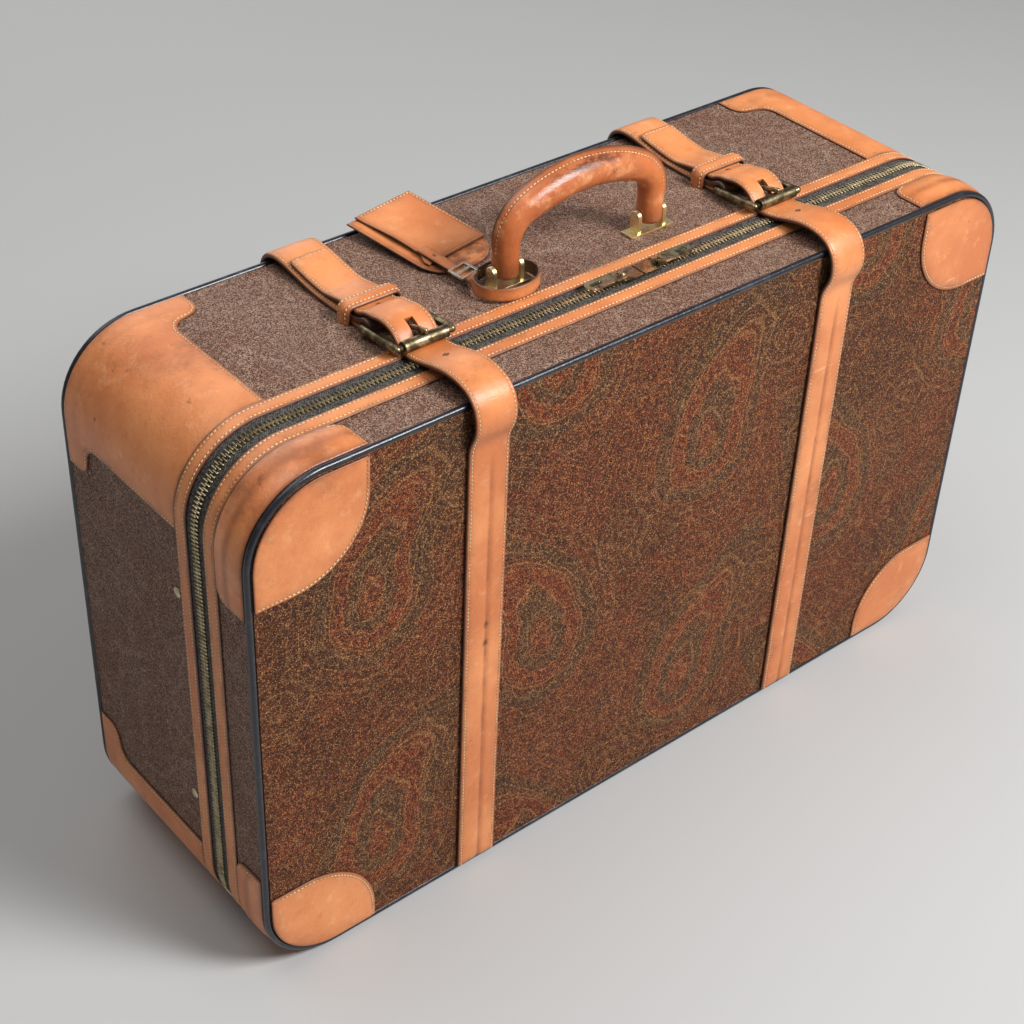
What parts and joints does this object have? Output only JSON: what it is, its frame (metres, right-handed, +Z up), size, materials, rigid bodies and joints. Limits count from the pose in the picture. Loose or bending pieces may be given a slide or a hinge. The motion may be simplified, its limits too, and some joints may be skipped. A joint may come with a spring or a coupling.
{
  "type": "suitcase",
  "caption": "Zipped suitcase with a hinged lid, coated canvas sides, leather corners and belts with roller buckles, and a padded carrying handle.",
  "frame": {"origin": "on the floor, in the middle of the width and depth of the standing case", "axes": "+X along the width, +Y from the lid at the front to the back, +Z up"},
  "size_m": [0.7006, 0.244, 0.5057],
  "materials": {
    "leather": "satin, scuffed",
    "canvas_side": "coated, fine mottle",
    "canvas_printed": "coated, woven print",
    "frame_wood": "plain",
    "lining": "matt",
    "piping": "glossy",
    "zip_tape": "matt",
    "old_brass": "antique",
    "brass": "polished",
    "nickel": "polished"
  },
  "bodies": {
    "case": {"body_shell": "frame_wood", "body_band": "canvas_side", "body_back_cover": "canvas_printed", "body_lining": "lining", "body_corner_top_left": "leather", "body_corner_top_right": "leather", "body_corner_low_left": "leather", "body_corner_low_right": "leather", "back_piping": "piping", "body_trim": "leather", "body_zip_tape": "zip_tape", "body_zip_teeth": "old_brass", "side_studs": "brass", "hinge_strip": "leather", "rear_belt_left": "leather", "rear_belt_right": "leather", "keeper_left": "leather", "keeper_right": "leather", "handle_plate_left": "brass", "handle_plate_right": "brass", "handle_pin_left": "brass", "handle_pin_right": "brass", "tag_lower_leaf": "leather", "tag_upper_leaf": "leather", "tag_strap": "leather", "tag_buckle": "nickel"},
    "lid": {"lid_shell": "frame_wood", "lid_band": "canvas_side", "lid_front_cover": "canvas_printed", "lid_lining": "lining", "lid_corner_top_left": "leather", "lid_corner_top_right": "leather", "lid_corner_low_left": "leather", "lid_corner_low_right": "leather", "front_corner_top_left": "leather", "front_corner_top_right": "leather", "front_corner_low_left": "leather", "front_corner_low_right": "leather", "front_piping": "piping", "lid_trim": "leather", "lid_zip_tape": "zip_tape", "lid_zip_teeth": "old_brass", "lid_hinge_strip": "leather", "front_strap_left": "leather", "front_strap_right": "leather", "strap_tail_left": "leather", "strap_tail_right": "leather"},
    "handle": {"handle_grip": "leather"},
    "zip_slider_left": {"slider_left": "old_brass"},
    "zip_pull_left": {"pull_left": "old_brass"},
    "buckle_left": {"buckle_frame_left": "old_brass"},
    "buckle_roller_left": {"roller_left": "old_brass"},
    "buckle_tongue_left": {"tongue_left": "old_brass"},
    "zip_slider_right": {"slider_right": "old_brass"},
    "zip_pull_right": {"pull_right": "old_brass"},
    "buckle_right": {"buckle_frame_right": "old_brass"},
    "buckle_roller_right": {"roller_right": "old_brass"},
    "buckle_tongue_right": {"tongue_right": "old_brass"}
  },
  "joints": [
    {"name": "lid_hinge", "type": "hinge", "parent": "case", "child": "lid", "pos_m": [0, -0.054, 0.0015], "axis": [1, 0, 0], "range_deg": [0, 75], "deforming": ["strap_tail_left", "strap_tail_right"]},
    {"name": "handle_swing", "type": "hinge", "parent": "case", "child": "handle", "pos_m": [0, -0.01, 0.44], "axis": [1, 0, 0], "range_deg": [-35, 50]},
    {"name": "zip_slide_left", "type": "slide", "parent": "case", "child": "zip_slider_left", "axis": [-1, 0, 0], "range_m": [0, 0.285]},
    {"name": "pull_swing_left", "type": "hinge", "parent": "zip_slider_left", "child": "zip_pull_left", "pos_m": [0.002, -0.054, 0.4319], "axis": [0, 1, 0], "range_deg": [0, 100]},
    {"name": "buckle_swing_left", "type": "hinge", "parent": "case", "child": "buckle_left", "pos_m": [-0.163, -0.005, 0.4323], "axis": [-1, 0, 0], "range_deg": [0, 70]},
    {"name": "tongue_swing_left", "type": "hinge", "parent": "buckle_left", "child": "buckle_tongue_left", "pos_m": [-0.163, -0.005, 0.4323], "axis": [-1, 0, 0], "range_deg": [0, 40]},
    {"name": "roller_spin_left", "type": "hinge", "parent": "buckle_left", "child": "buckle_roller_left", "pos_m": [-0.163, -0.04481, 0.4362], "axis": [1, 0, 0], "continuous": true},
    {"name": "zip_slide_right", "type": "slide", "parent": "case", "child": "zip_slider_right", "axis": [1, 0, 0], "range_m": [0, 0.249]},
    {"name": "pull_swing_right", "type": "hinge", "parent": "zip_slider_right", "child": "zip_pull_right", "pos_m": [0.034, -0.054, 0.4319], "axis": [0, -1, 0], "range_deg": [0, 100]},
    {"name": "buckle_swing_right", "type": "hinge", "parent": "case", "child": "buckle_right", "pos_m": [0.163, -0.005, 0.4323], "axis": [-1, 0, 0], "range_deg": [0, 70]},
    {"name": "tongue_swing_right", "type": "hinge", "parent": "buckle_right", "child": "buckle_tongue_right", "pos_m": [0.163, -0.005, 0.4323], "axis": [-1, 0, 0], "range_deg": [0, 40]},
    {"name": "roller_spin_right", "type": "hinge", "parent": "buckle_right", "child": "buckle_roller_right", "pos_m": [0.163, -0.04481, 0.4362], "axis": [1, 0, 0], "continuous": true}
  ]
}
